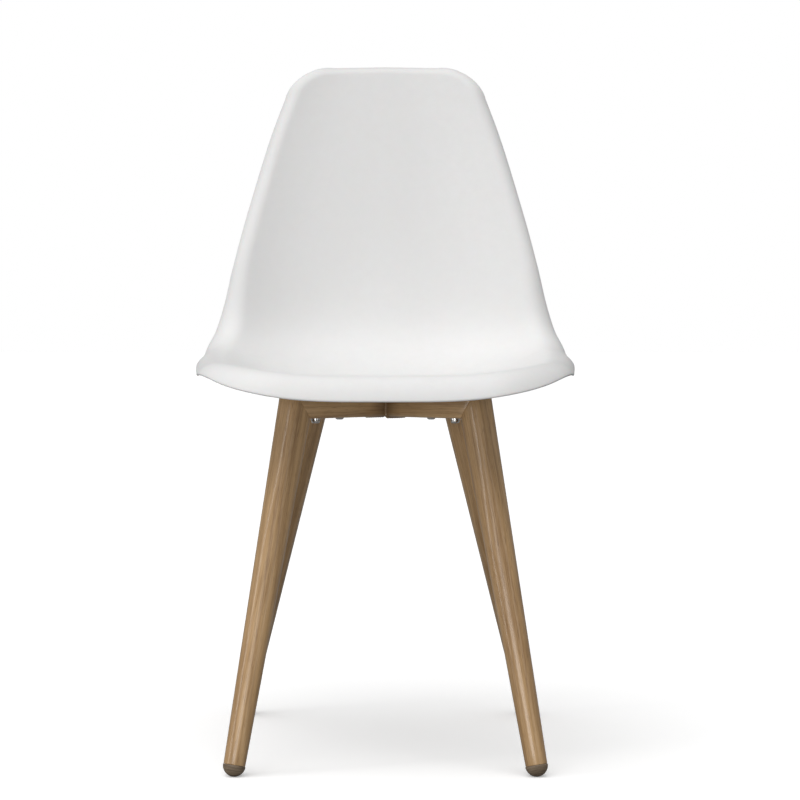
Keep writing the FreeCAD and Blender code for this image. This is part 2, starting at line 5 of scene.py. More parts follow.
import bmesh
import bpy
import numpy as np
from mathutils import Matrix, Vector


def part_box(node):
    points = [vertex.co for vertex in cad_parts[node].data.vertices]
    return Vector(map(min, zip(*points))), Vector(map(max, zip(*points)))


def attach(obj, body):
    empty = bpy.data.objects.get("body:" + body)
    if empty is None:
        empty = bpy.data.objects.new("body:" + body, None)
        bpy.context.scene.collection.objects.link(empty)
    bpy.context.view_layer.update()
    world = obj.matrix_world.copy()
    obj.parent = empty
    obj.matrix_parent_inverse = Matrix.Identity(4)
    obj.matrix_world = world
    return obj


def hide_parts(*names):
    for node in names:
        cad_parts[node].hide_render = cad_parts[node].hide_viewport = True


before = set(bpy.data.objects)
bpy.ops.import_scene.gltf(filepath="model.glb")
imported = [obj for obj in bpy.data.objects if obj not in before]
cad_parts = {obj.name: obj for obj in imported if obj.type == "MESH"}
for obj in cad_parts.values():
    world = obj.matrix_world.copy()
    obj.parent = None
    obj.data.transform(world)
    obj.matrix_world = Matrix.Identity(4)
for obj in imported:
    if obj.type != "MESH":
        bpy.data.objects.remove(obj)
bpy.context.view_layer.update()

MM = 0.001

# ---------------------------------------------------------------- facts read from the frame
BAR_LOW, BAR_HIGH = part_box("crossbar_through")
BAR_TOP, BAR_BOTTOM = BAR_HIGH.z, BAR_LOW.z
BAR_HALF_HEIGHT = (BAR_TOP - BAR_BOTTOM) / 2.0
CROSSING_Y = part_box("crossbar_front_arm")[1].y  # a corner of the arm's butt end has the crossing's y
CROSSING = Vector((0.0, CROSSING_Y, (BAR_TOP + BAR_BOTTOM) / 2.0))
SPRING_LOW, SPRING_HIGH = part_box("spring_washers")
FLAT_LOW, FLAT_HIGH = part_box("flat_washers")
HEAD_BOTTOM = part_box("seat_bolts")[0].z

# ---------------------------------------------------------------- the frame's own sizes
BAR_HALF_WIDTH, BAR_CORNER = 17.0 * MM, 4.0 * MM
FOOT_RADIUS, LEG_GROWTH, LEG_OVERRUN = 12.25 * MM, 7.75 * MM, 25.0 * MM
LEG_WALL, LEG_OPENING = 1.5 * MM, 20.0 * MM  # the tube's wall and how far up its open foot is modelled
FORMED_LOW, FORMED_HIGH, FORMED_POWER = 170.0 * MM, 20.0 * MM, 1.6  # where a leg turns squarer, below its top
CAP_RADIUS, CAP_HEIGHT, PLUG_GAP, PLUG_LENGTH = 12.75 * MM, 12.4 * MM, 0.25 * MM, 16.0 * MM
FRONT_REACH, REAR_REACH = 104.0 * MM, 90.0 * MM
FRONT_FOOT = (168.0 * MM, 184.6 * MM)
REAR_FOOT = (184.2 * MM, 227.9 * MM)
FRONT_BOLT, REAR_BOLT = 81.0 * MM, 56.0 * MM
BEAD_RADIUS, BEAD_RIPPLE = 2.2 * MM, 1.9 * MM
BOLT_HEAD_RADIUS, THREAD_RADIUS, THREAD_LENGTH = 5.25 * MM, 2.95 * MM, 35.0 * MM
SOCKET_FLATS, SOCKET_DEPTH = 4.0 * MM, 2.0 * MM
WASHER_INNER, FLAT_OUTER, SPRING_OUTER = 3.2 * MM, 6.0 * MM, 5.25 * MM
CORNERS = {  # side, end, how far the bar reaches, foot, how far out the bolt is
    "front_left": (-1.0, -1.0, FRONT_REACH, FRONT_FOOT, FRONT_BOLT),
    "front_right": (1.0, -1.0, FRONT_REACH, FRONT_FOOT, FRONT_BOLT),
    "rear_left": (-1.0, 1.0, REAR_REACH, REAR_FOOT, REAR_BOLT),
    "rear_right": (1.0, 1.0, REAR_REACH, REAR_FOOT, REAR_BOLT),
}
UP = Vector((0.0, 0.0, 1.0))

# ---------------------------------------------------------------- the shell's sizes
SHELL_WALL, EDGE_WALL = 5.0 * MM, 3.4 * MM
PAN_FRONT = (-229.7 * MM, 448.5 * MM)
PAN_TILT, BACK_LEAN, BACK_RECLINE = 7.0, 78.0, 6.0
BEND_START, BEND_END, PROFILE_RUN = 230.0 * MM, 425.0 * MM, 738.0 * MM
DISH_FRONT, DISH_SEAT, DISH_TOP = 28.5 * MM, 48.5 * MM, 14.0 * MM
FLARE_FRONT, FLARE_BACK = 3.55, 2.7
FRONT_BOW, TOP_CROWN = 12.0 * MM, 7.0 * MM
CORNER_FRONT, CORNER_TOP = 90.0 * MM, 40.5 * MM
ROLL_PAN, ROLL_BACK, ROLL_ANGLE = 23.4 * MM, 15.0 * MM, math.radians(78.0)
ROLL_SWING, ROLL_DEPTH = 0.5, 1.12
LIP_STRETCH, LIP_FLATNESS = 0.64, 4
DEEPENS, EASES = (60.0 * MM, 270.0 * MM), (300.0 * MM, 730.0 * MM)  # runs over which the dish changes
TIGHTENS, LIP = (330.0 * MM, 480.0 * MM), (30.0 * MM, 110.0 * MM)  # and the roll
HALF_WIDTHS = MM * np.array([  # stations of run and half width
    (-30.0, 202.0), (60.0, 200.5), (225.0, 211.0), (305.0, 206.0), (355.0, 197.0),
    (405.0, 190.0), (455.0, 183.0), (545.0, 163.5), (635.0, 141.0), (725.0, 111.5), (785.0, 93.5),
])
BOSS_RADIUS, BOSS_FLARE = 9.5 * MM, 4.0 * MM
INSERT_RADIUS, INSERT_LENGTH = 4.25 * MM, 7.0 * MM


# ---------------------------------------------------------------- the shell's surface, on arrays of (x, run)
def blend(start, end, run):
    """Smooth step from 0 to 1 between two runs."""
    t = np.clip((run - start) / (end - start), 0.0, 1.0)
    return t * t * (3.0 - 2.0 * t)


def lean(run):
    """Angle of the side profile over the level, in radians."""
    degrees = -PAN_TILT * np.maximum(1.0 - run / BEND_START, 0.0)
    degrees = degrees + BACK_LEAN * blend(BEND_START, BEND_END, run)
    degrees = degrees - BACK_RECLINE * np.maximum(run - BEND_END, 0.0) / (PROFILE_RUN - BEND_END)
    return np.radians(degrees)


def walk_profile(start=-60.0 * MM, step=1.0 * MM):
    """The side profile as arrays of run, y and z, by adding up its lean."""
    run = np.arange(start, PROFILE_RUN - start, step)
    angle = lean(run[:-1] + step / 2.0)
    y = np.concatenate([[0.0], np.cumsum(np.cos(angle) * step)])
    z = np.concatenate([[0.0], np.cumsum(np.sin(angle) * step)])
    y += PAN_FRONT[0] - np.interp(0.0, run, y)
    z += PAN_FRONT[1] - np.interp(0.0, run, z)
    return run, y, z


PROFILE = walk_profile()


def half_width(run):
    """Cubic curve through HALF_WIDTHS, its slopes taken from the neighbouring stations."""
    runs, widths = HALF_WIDTHS.T
    slopes = np.gradient(widths, runs)
    inner = slice(1, -1)
    slopes[inner] = (widths[2:] - widths[:-2]) / (runs[2:] - runs[:-2])
    i = np.clip(np.searchsorted(runs, run) - 1, 0, len(runs) - 2)
    span = runs[i + 1] - runs[i]
    t = (run - runs[i]) / span
    return (
        (2.0 * t**3 - 3.0 * t**2 + 1.0) * widths[i]
        + (t**3 - 2.0 * t**2 + t) * span * slopes[i]
        + (3.0 * t**2 - 2.0 * t**3) * widths[i + 1]
        + (t**3 - t**2) * span * slopes[i + 1]
    )


def roll_radius(run):
    """Radius of the rolled edge."""
    return ROLL_PAN + (ROLL_BACK - ROLL_PAN) * blend(*TIGHTENS, run)


def roll_reach(run):
    """How far the rolled edge reaches outwards from where it starts."""
    return roll_radius(run) * math.sin(ROLL_ANGLE)


def beyond(x, run):
    """Distance outwards from the line where the rolled edge begins, negative inside it."""
    width = half_width(run) - roll_reach(run)
    front = run < PROFILE_RUN / 2.0
    nearest = np.where(front, 0.0, PROFILE_RUN)
    corner = np.where(front, CORNER_FRONT, CORNER_TOP) - roll_reach(nearest)
    fore_end = run - FRONT_BOW * (x / width) ** 2
    top_end = PROFILE_RUN - TOP_CROWN * (x / width) ** 2 - run
    end = np.where(front, fore_end, top_end) - roll_reach(nearest)
    across, along = corner - (width - np.abs(x)), corner - end
    outside = np.hypot(np.maximum(across, 0.0), np.maximum(along, 0.0))
    return outside + np.minimum(np.maximum(across, along), 0.0) - corner


def dish(x, run):
    """Rise of the sitting face over the profile, and its slope towards the sides."""
    depth = DISH_FRONT + (DISH_SEAT - DISH_FRONT) * blend(*DEEPENS, run)
    depth = depth + (DISH_TOP - DISH_SEAT) * blend(*EASES, run)
    power = FLARE_FRONT + (FLARE_BACK - FLARE_FRONT) * blend(*DEEPENS, run)
    share = np.abs(x) / half_width(run)
    return depth * share**power, depth * power / half_width(run) * share ** (power - 1.0)


def roll_end(x, run):
    """Distance beyond the roll's start where the edge ends: further where the dish is steeper."""
    grade_x, _ = outward(x, run)
    return roll_radius(run) * (ROLL_ANGLE + ROLL_SWING * np.arctan(dish(x, run)[1] * np.abs(grade_x)))


def outward(x, run, step=0.5 * MM):
    """Gradient of beyond."""
    grade_x = (beyond(x + step, run) - beyond(x - step, run)) / (2.0 * step)
    grade_run = (beyond(x, run + step) - beyond(x, run - step)) / (2.0 * step)
    return grade_x, grade_run


def field(x, run):
    """Sitting face without its rolled edge, as an array of points."""
    y, z = np.interp(run, PROFILE[0], PROFILE[1]), np.interp(run, PROFILE[0], PROFILE[2])
    rise, angle = dish(x, run)[0], lean(run)
    return np.stack([x, y - rise * np.sin(angle), z + rise * np.cos(angle)], axis=-1)


def across_face(face, x, run, step=0.5 * MM):
    """Unit normals of a face, towards the sitter."""
    along_x = face(x + step, run) - face(x - step, run)
    along_run = face(x, run + step) - face(x, run - step)
    normal = np.cross(along_x, along_run)
    return normal / np.linalg.norm(normal, axis=-1, keepdims=True)


def sitting_face(x, run):
    """Points of the finished sitting face, for points (x, run) of the shell laid flat."""
    out = np.maximum(beyond(x, run), 0.0)
    grade_x, grade_run = outward(x, run)
    grade = np.hypot(grade_x, grade_run)
    radius = roll_radius(run)
    angle = out / grade / radius
    back = (out / grade - radius * np.sin(angle)) / grade
    x, run = x - grade_x * back, run - grade_run * back
    lip = (1.0 - blend(*LIP, run)) * (1.0 - (x / half_width(run)) ** LIP_FLATNESS)
    deeper = ROLL_DEPTH + (1.0 - ROLL_DEPTH) * blend(*TIGHTENS, run) + LIP_STRETCH * lip
    drop = deeper * radius * (1.0 - np.cos(angle))
    return field(x, run) - across_face(field, x, run) * drop[..., None]


# ---------------------------------------------------------------- mesh helpers
def piece(name, points, faces, material, replaces=(), grain=None, sharp=math.radians(40.0)):
    """Mesh object riding on the chair, smooth but for edges sharper than the angle given."""
    mesh = bpy.data.meshes.new(name)
    mesh.from_pydata([tuple(point) for point in points], [], faces)
    mesh.update()
    mesh.shade_smooth()
    mesh.set_sharp_from_angle(angle=sharp)
    if grain is not None:
        layer = mesh.attributes.new("grain", "FLOAT_VECTOR", "POINT")
        layer.data.foreach_set("vector", np.asarray(grain, dtype=np.float32).ravel())
    mesh.materials.append(material)
    thing = bpy.data.objects.new(name, mesh)
    bpy.context.scene.collection.objects.link(thing)
    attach(thing, "root")
    if replaces:
        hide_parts(*replaces)


def strip(first, second, closed=True):
    """Quads between two rows of point numbers."""
    count = len(first)
    return [
        (first[i], first[(i + 1) % count], second[(i + 1) % count], second[i])
        for i in range(count if closed else count - 1)
    ]


def tube(rings):
    """Points and faces of a closed solid through rings of equal count, its two ends closed by fans."""
    count = len(rings[0])
    points = np.concatenate([rings[0].mean(axis=0)[None]] + list(rings) + [rings[-1].mean(axis=0)[None]])
    rows = [list(range(1 + k * count, 1 + (k + 1) * count)) for k in range(len(rings))]
    faces = [face for low, high in zip(rows, rows[1:]) for face in strip(low, high)]
    last = len(points) - 1
    faces += [(0, rows[0][(i + 1) % count], rows[0][i]) for i in range(count)]
    faces += [(last, rows[-1][i], rows[-1][(i + 1) % count]) for i in range(count)]
    return points, faces


def turned(profile, count, origin, axis, start):
    """Rings of (radius, height) corners about an axis; a radius may be a function of the angle."""
    axis, start = np.array(axis), np.array(start)
    across = np.cross(axis, start)
    angle = np.linspace(0.0, 2.0 * math.pi, count, endpoint=False)
    rings = []
    for radius, height in profile:
        reach = radius(angle) if callable(radius) else np.full(count, radius)
        spoke = np.cos(angle)[:, None] * start + np.sin(angle)[:, None] * across
        rings.append(np.array(origin) + spoke * reach[:, None] + axis * height)
    return rings


def local_grain(points, origin, axis, start, offset):
    """Coordinates along a piece's own axes, the grain running along the third."""
    axis, start = np.array(axis), np.array(start)
    across = np.cross(axis, start)
    away = np.asarray(points) - np.array(origin)
    return np.stack([away @ start, away @ across, away @ axis], axis=-1) + np.array(offset)


def trimmed(points, faces, planes):
    """Cut a closed solid by planes (point, normal), drop what lies beyond, and close and ease each cut."""
    least_angle, ease = math.radians(35.0), 0.5 * MM
    bm = bmesh.new()
    verts = [bm.verts.new(point) for point in points]
    for face in faces:
        bm.faces.new([verts[i] for i in face])
    for point, normal in planes:
        geometry = bm.verts[:] + bm.edges[:] + bm.faces[:]
        cut = bmesh.ops.bisect_plane(
            bm, geom=geometry, plane_co=point, plane_no=normal, clear_outer=True, dist=1e-7
        )
        rim = [item for item in cut["geom_cut"] if isinstance(item, bmesh.types.BMEdge)]
        bmesh.ops.edgenet_fill(bm, edges=rim)
    bmesh.ops.recalc_face_normals(bm, faces=bm.faces[:])
    edges = [edge for edge in bm.edges if edge.is_manifold and edge.calc_face_angle(0.0) > least_angle]
    bmesh.ops.bevel(bm, geom=edges, offset=ease, segments=2, profile=0.5, affect="EDGES", clamp_overlap=True)
    bm.verts.index_update()
    result = [vert.co.copy() for vert in bm.verts], [tuple(v.index for v in face.verts) for face in bm.faces]
    bm.free()
    return result


# ---------------------------------------------------------------- materials
class Nodes:
    """A material's node tree, built link by link."""

    def __init__(self, name):
        self.material = bpy.data.materials.new(name)
        self.material.use_nodes = True
        self.tree = self.material.node_tree
        self.shader = self.tree.nodes["Principled BSDF"]

    def new(self, kind, inputs=(), **settings):
        """A node whose inputs are linked to sockets or set to values."""
        node = self.tree.nodes.new(kind)
        for name, value in settings.items():
            setattr(node, name, value)
        for name, value in dict(inputs).items():
            if isinstance(value, bpy.types.NodeSocket):
                self.tree.links.new(value, node.inputs[name])
            else:
                node.inputs[name].default_value = value
        return node

    def shade(self, **inputs):
        """Link or set the shader's own inputs, named with _ for each space."""
        for name, value in inputs.items():
            socket = self.shader.inputs[name.replace("_", " ")]
            if isinstance(value, bpy.types.NodeSocket):
                self.tree.links.new(value, socket)
            else:
                socket.default_value = value

    def stretch(self, source, scale):
        return self.new("ShaderNodeVectorMath", {0: source, 1: scale}, operation="MULTIPLY").outputs[0]

    def noise(self, source, scale=1.0, detail=3.0, roughness=0.5, distortion=0.0):
        inputs = {"Vector": source, "Scale": scale, "Detail": detail, "Roughness": roughness}
        inputs["Distortion"] = distortion
        return self.new("ShaderNodeTexNoise", inputs).outputs["Fac"]

    def ramp(self, factor, stops):
        node = self.new("ShaderNodeValToRGB", {"Fac": factor})
        elements = node.color_ramp.elements
        while len(elements) < len(stops):
            elements.new(0.5)
        for element, (place, colour) in zip(elements, stops):
            element.position = place
            element.color = (*colour, 1.0)
        return node.outputs["Color"]

    def span(self, factor, low, high, start, end):
        """Map low..high of a factor to start..end."""
        inputs = {"Value": factor, "From Min": low, "From Max": high, "To Min": start, "To Max": end}
        return self.new("ShaderNodeMapRange", inputs).outputs["Result"]

    def mix(self, factor, first, second):
        return self.new("ShaderNodeMix", {0: factor, 6: first, 7: second}, data_type="RGBA").outputs[2]

    def bump(self, height, distance, strength=1.0, normal=None):
        inputs = {"Height": height, "Distance": distance, "Strength": strength}
        if normal is not None:
            inputs["Normal"] = normal
        return self.new("ShaderNodeBump", inputs).outputs["Normal"]


def moulded_white():
    """White polypropylene with a fine spark-eroded grain and faint flow marks."""
    n = Nodes("moulded_white")
    place = n.new("ShaderNodeTexCoord").outputs["Object"]
    grain = n.noise(place, 1500.0, 2.0, 0.6)
    flow = n.noise(n.stretch(place, (3.0, 3.0, 1.2)), 1.6, 3.0, 0.45, 0.6)
    dust = n.noise(place, 90.0, 4.0, 0.65)
    base = n.ramp(flow, [(0.30, (0.800, 0.797, 0.792)), (0.70, (0.832, 0.829, 0.824))])
    colour = n.mix(n.span(dust, 0.35, 0.75, 0.0, 0.35), base, (0.775, 0.770, 0.762, 1.0))
    n.shade(
        Base_Color=colour,
        Roughness=n.span(n.mix(0.5, flow, dust), 0.3, 0.7, 0.40, 0.52),
        Normal=n.bump(grain, 0.05 * MM, 0.35, n.bump(dust, 0.25 * MM, 0.10)),
        Specular_IOR_Level=0.42,
        IOR=1.49,
        Subsurface_Weight=0.06,
        Subsurface_Scale=0.004,
    )
    return n.material


# Distances from the crossing where the painted shade under the seat is darkest and where it fades out.
PAINTED_SHADE_CORE, PAINTED_SHADE_REACH = 17.0 * MM, 46.0 * MM


def oak_film():
    """Oak print on steel tube, with streaks, growth lines and pores along the piece, and painted shade
    darkening it near the crossing.
    """
    n = Nodes("oak_film")
    place = n.new("ShaderNodeAttribute", attribute_name="grain").outputs["Vector"]
    broad = n.noise(n.stretch(place, (45.0, 45.0, 3.2)), 1.0, 3.0, 0.5, 0.4)
    streak = n.noise(n.stretch(place, (210.0, 210.0, 7.0)), 1.0, 5.0, 0.62, 0.8)
    fine = n.noise(n.stretch(place, (900.0, 900.0, 26.0)), 1.0, 3.0, 0.6)
    figure = n.new(
        "ShaderNodeTexWave",
        {"Vector": n.stretch(place, (120.0, 75.0, 5.0)), "Scale": 0.35, "Distortion": 5.5, "Detail": 3.0,
         "Detail Scale": 0.9, "Detail Roughness": 0.6},
        wave_type="BANDS", bands_direction="DIAGONAL", wave_profile="SIN",
    ).outputs["Fac"]
    pores = n.noise(n.stretch(place, (1300.0, 1300.0, 60.0)), 1.0, 2.0, 0.55)
    base = n.ramp(
        broad, [(0.28, (0.385, 0.222, 0.090)), (0.50, (0.520, 0.320, 0.142)), (0.74, (0.640, 0.420, 0.208))]
    )
    streaked = n.mix(n.span(streak, 0.42, 0.68, 0.0, 0.75), base, (0.280, 0.152, 0.056, 1.0))
    figured = n.mix(n.span(figure, 0.55, 1.0, 0.0, 0.42), streaked, (0.265, 0.140, 0.050, 1.0))
    combed = n.mix(n.span(fine, 0.40, 0.66, 0.0, 0.45), figured, (0.640, 0.425, 0.225, 1.0))
    pored = n.mix(n.span(pores, 0.60, 0.70, 0.0, 0.55), combed, (0.165, 0.084, 0.030, 1.0))
    # Painted shade: the film darkens towards the crossing under the seat, standing in for the shade that
    # falls there.
    body = n.new("ShaderNodeTexCoord").outputs["Object"]
    away = n.new("ShaderNodeVectorMath", {0: body, 1: tuple(CROSSING)}, operation="DISTANCE").outputs["Value"]
    with_painted_shade = n.mix(n.span(away, PAINTED_SHADE_CORE, PAINTED_SHADE_REACH, 0.80, 0.0), pored, (0.060, 0.026, 0.006, 1.0))
    height = n.mix(0.5, pores, fine)
    n.shade(
        Base_Color=with_painted_shade,
        Roughness=n.span(streak, 0.3, 0.7, 0.36, 0.50),
        Normal=n.bump(height, 0.06 * MM, 0.30),
        Specular_IOR_Level=0.42,
        Coat_Weight=0.80,
        Coat_Roughness=0.22,
    )
    return n.material


def cap_plastic():
    """Grey-brown polyethylene, swirled round the cap, with dark flecks."""
    n = Nodes("cap_plastic")
    place = n.new("ShaderNodeAttribute", attribute_name="grain").outputs["Vector"]
    swirl = n.noise(n.stretch(place, (40.0, 40.0, 420.0)), 1.0, 4.0, 0.6, 1.6)
    fleck = n.noise(place, 1400.0, 2.0, 0.6)
    base = n.ramp(
        swirl, [(0.30, (0.120, 0.088, 0.058)), (0.52, (0.205, 0.152, 0.100)), (0.72, (0.310, 0.238, 0.165))]
    )
    colour = n.mix(n.span(fleck, 0.55, 0.75, 0.0, 0.35), base, (0.085, 0.062, 0.042, 1.0))
    n.shade(
        Base_Color=colour,
        Roughness=n.span(swirl, 0.3, 0.7, 0.42, 0.58),
        Normal=n.bump(n.mix(0.6, fleck, swirl), 0.08 * MM, 0.4),
        Specular_IOR_Level=0.4,
    )
    return n.material


def bright_nickel():
    """Nickel plate with faint turning marks and handling haze."""
    n = Nodes("bright_nickel")
    place = n.new("ShaderNodeTexCoord").outputs["Object"]
    haze = n.noise(place, 260.0, 4.0, 0.6)
    marks = n.noise(n.stretch(place, (300.0, 300.0, 5200.0)), 1.0, 2.0, 0.6)
    n.shade(
        Base_Color=n.ramp(haze, [(0.3, (0.600, 0.590, 0.570)), (0.7, (0.760, 0.755, 0.740))]),
        Metallic=1.0,
        Roughness=n.span(haze, 0.3, 0.7, 0.12, 0.26),
        Normal=n.bump(marks, 0.02 * MM, 0.25),
    )
    return n.material


def turned_brass():
    """Brass of the moulded-in inserts, with turning marks."""
    n = Nodes("turned_brass")
    place = n.new("ShaderNodeTexCoord").outputs["Object"]
    haze = n.noise(place, 320.0, 4.0, 0.6)
    marks = n.noise(n.stretch(place, (400.0, 400.0, 6000.0)), 1.0, 2.0, 0.6)
    n.shade(
        Base_Color=n.ramp(haze, [(0.3, (0.480, 0.330, 0.120)), (0.7, (0.680, 0.500, 0.220))]),
        Metallic=1.0,
        Roughness=n.span(haze, 0.3, 0.7, 0.24, 0.40),
        Normal=n.bump(marks, 0.02 * MM, 0.3),
    )
    return n.material


WHITE, OAK, CAP, NICKEL, BRASS = moulded_white(), oak_film(), cap_plastic(), bright_nickel(), turned_brass()


# ---------------------------------------------------------------- the shell
def roll_start(x, run, toward_x, toward_run, limit):
    """Points where lines on the flat shell, from (x, run), reach a distance beyond the roll's start."""
    low, high = np.zeros_like(x), np.ones_like(x)
    for _ in range(40):
        middle = (low + high) / 2.0
        at_x, at_run = x + middle * toward_x, run + middle * toward_run
        inside = beyond(at_x, at_run) < limit(at_x, at_run)
        low, high = np.where(inside, middle, low), np.where(inside, high, middle)
    return x + low * toward_x, run + low * toward_run


def nought(x, run):
    """No distance beyond the roll's start."""
    return np.zeros_like(run)


def flat_grid(across, along):
    """Inner points of the flat shell, where the edge isn't rolled, as arrays of x and run.

    Its four sides follow the roll's start, and the points between them are blended from the sides.
    """
    corner_search, side_search, inset = 200.0 * MM, 300.0 * MM, 150.0 * MM
    out = np.full(1, corner_search)
    start = np.full(1, CORNER_FRONT)
    fx, fr = roll_start(half_width(start) - CORNER_FRONT, start, out, -out, nought)
    top_width = half_width(np.full(1, PROFILE_RUN))
    tx, tr = roll_start(top_width - CORNER_TOP, np.full(1, PROFILE_RUN - CORNER_TOP), out, out, nought)
    a, b = np.meshgrid(np.linspace(-1.0, 1.0, across), np.linspace(0.0, 1.0, along), indexing="ij")
    zero = np.zeros_like(a)
    side_x, side_run = roll_start(zero, fr + b * (tr - fr), zero + side_search, zero, nought)
    fore_x, fore_run = roll_start(a * fx, zero + inset, zero, zero - side_search, nought)
    head_x, head_run = roll_start(a * tx, zero + PROFILE_RUN - inset, zero, zero + side_search, nought)
    x = a * side_x + (1.0 - b) * fore_x + b * head_x - a * ((1.0 - b) * fx + b * tx)
    run = side_run + (1.0 - b) * fore_run + b * head_run - ((1.0 - b) * fr + b * tr)
    return x, run


def make_shell(across=81, along=133, rings=22, rounding=10):
    """The moulding: a grid over the flat part, rings out along the rolled edge, and a rounded rim."""
    x, run = flat_grid(across, along)
    index = np.arange(across * along).reshape(across, along)
    rim = np.concatenate([index[:-1, 0], index[-1, :-1], index[:0:-1, -1], index[0, :0:-1]])
    quads = np.stack([index[:-1, :-1], index[1:, :-1], index[1:, 1:], index[:-1, 1:]], axis=-1).reshape(-1, 4)
    rim_x, rim_run = x.ravel()[rim], run.ravel()[rim]
    grade_x, grade_run = outward(rim_x, rim_run)
    grade = np.hypot(grade_x, grade_run)
    search = 60.0 * MM
    end_x, end_run = roll_start(
        rim_x, rim_run, search * grade_x / grade, search * grade_run / grade,
        lambda x, run: roll_end(x, run) - EDGE_WALL / 2.0,
    )
    flat_x, flat_run = [x.ravel()], [run.ravel()]
    for k in range(1, rings + 1):
        share = k / rings
        flat_x.append(rim_x + share * (end_x - rim_x))
        flat_run.append(rim_run + share * (end_run - rim_run))
    flat_x, flat_run = np.concatenate(flat_x), np.concatenate(flat_run)
    upper = sitting_face(flat_x, flat_run)
    normal = across_face(sitting_face, flat_x, flat_run)
    count = len(rim)
    ring_of = np.concatenate([np.zeros(across * along), np.repeat(np.arange(1, rings + 1), count)])
    wall = SHELL_WALL - (SHELL_WALL - EDGE_WALL) * blend(0.5, 1.0, ring_of / rings)
    lower = upper - normal * wall[:, None]

    rows = [list(rim)] + [
        list(range(across * along + k * count, across * along + (k + 1) * count)) for k in range(rings)
    ]
    sheet = [tuple(quad) for quad in quads.tolist()] + [
        face for inner, outer in zip(rows, rows[1:]) for face in strip(outer, inner)
    ]
    total = len(upper)
    edge = rows[-1]
    middle = (upper[edge] + lower[edge]) / 2.0
    along_edge = np.roll(middle, -1, axis=0) - np.roll(middle, 1, axis=0)
    out = np.cross(along_edge, normal[edge])
    out /= np.linalg.norm(out, axis=-1, keepdims=True)
    edge_rows = [edge]
    points = [upper, lower]
    for k in range(1, rounding):
        angle = math.pi * k / rounding
        points.append(middle + EDGE_WALL / 2.0 * (math.cos(angle) * normal[edge] + math.sin(angle) * out))
        edge_rows.append(list(range(2 * total + (k - 1) * count, 2 * total + k * count)))
    edge_rows.append([i + total for i in edge])
    faces = sheet + [tuple(i + total for i in reversed(face)) for face in sheet]
    for inner, outer in zip(edge_rows, edge_rows[1:]):
        faces += strip(outer, inner)
    piece("shell_moulding", np.concatenate(points), faces, WHITE, ["seat_shell"])


def under_height(x, y):
    """Height of the shell's under face over points (x, y) of the pan."""
    pan_end = 360.0 * MM
    low, high = np.zeros_like(x), np.full_like(x, pan_end)
    for _ in range(40):
        run = (low + high) / 2.0
        at = sitting_face(x, run) - across_face(sitting_face, x, run) * SHELL_WALL
        short = at[..., 1] < y
        low, high = np.where(short, run, low), np.where(short, high, run)
    return at[..., 2]


def corner_point(corner, reach, height):
    """Point on a corner's diagonal, a reach from the crossing along x and along y."""
    side, end = CORNERS[corner][:2]
    return Vector((side * reach, CROSSING.y + end * reach, height))


def make_boss(corner, count=64, steps=8):
    """Round boss under the pan, flaring into it, with the insert's bore in its lower end."""
    ease, sunk = 0.5 * MM, 0.4 * MM
    foot = corner_point(corner, CORNERS[corner][4], BAR_TOP)
    angle = np.linspace(0.0, 2.0 * math.pi, count, endpoint=False)
    cos, sin = np.cos(angle), np.sin(angle)
    levels = [
        (INSERT_RADIUS, INSERT_LENGTH), (INSERT_RADIUS, 0.0), (BOSS_RADIUS - ease, 0.0), (BOSS_RADIUS, ease)
    ]
    rings = [
        np.stack([foot.x + r * cos, foot.y + r * sin, np.full(count, foot.z + h)], axis=-1) for r, h in levels
    ]
    for k in range(steps + 1):
        turn = math.pi / 2.0 * k / steps
        r = BOSS_RADIUS + BOSS_FLARE * (1.0 - math.cos(turn))
        x, y = foot.x + r * cos, foot.y + r * sin
        z = under_height(x, y) + sunk - BOSS_FLARE * (1.0 - math.sin(turn))
        rings.append(np.stack([x, y, z], axis=-1))
    points, faces = tube(rings)
    piece(f"boss_{corner}", points, [face[::-1] for face in faces], WHITE)


# ---------------------------------------------------------------- legs and foot caps
def leg_axes(corner):
    """A leg's foot and top, its axis upwards, and the direction across it that is nearest to level."""
    side, end, reach, foot, _ = CORNERS[corner]
    bottom = Vector((side * foot[0], CROSSING.y + end * foot[1], CAP_HEIGHT))
    top = CROSSING + Vector((side, end, 0.0)) * reach
    axis = (top - bottom).normalized()
    level = Vector((-end, side, 0.0)).normalized()
    start = (level - axis * level.dot(axis)).normalized()
    return bottom, top, axis, start


def mitre_plane(corner):
    """Normal of the plane between leg and bar, pointing towards the bar."""
    side, end = CORNERS[corner][:2]
    bottom, top, _, _ = leg_axes(corner)
    level = Vector((-end, side, 0.0)).normalized()
    outward_bar = Vector((side, end, 0.0)).normalized()
    down = bottom - top
    down = (down - level * down.dot(level)).normalized()
    normal = (outward_bar - down).normalized().cross(level).normalized()
    return -normal if normal.dot(outward_bar) > 0.0 else normal


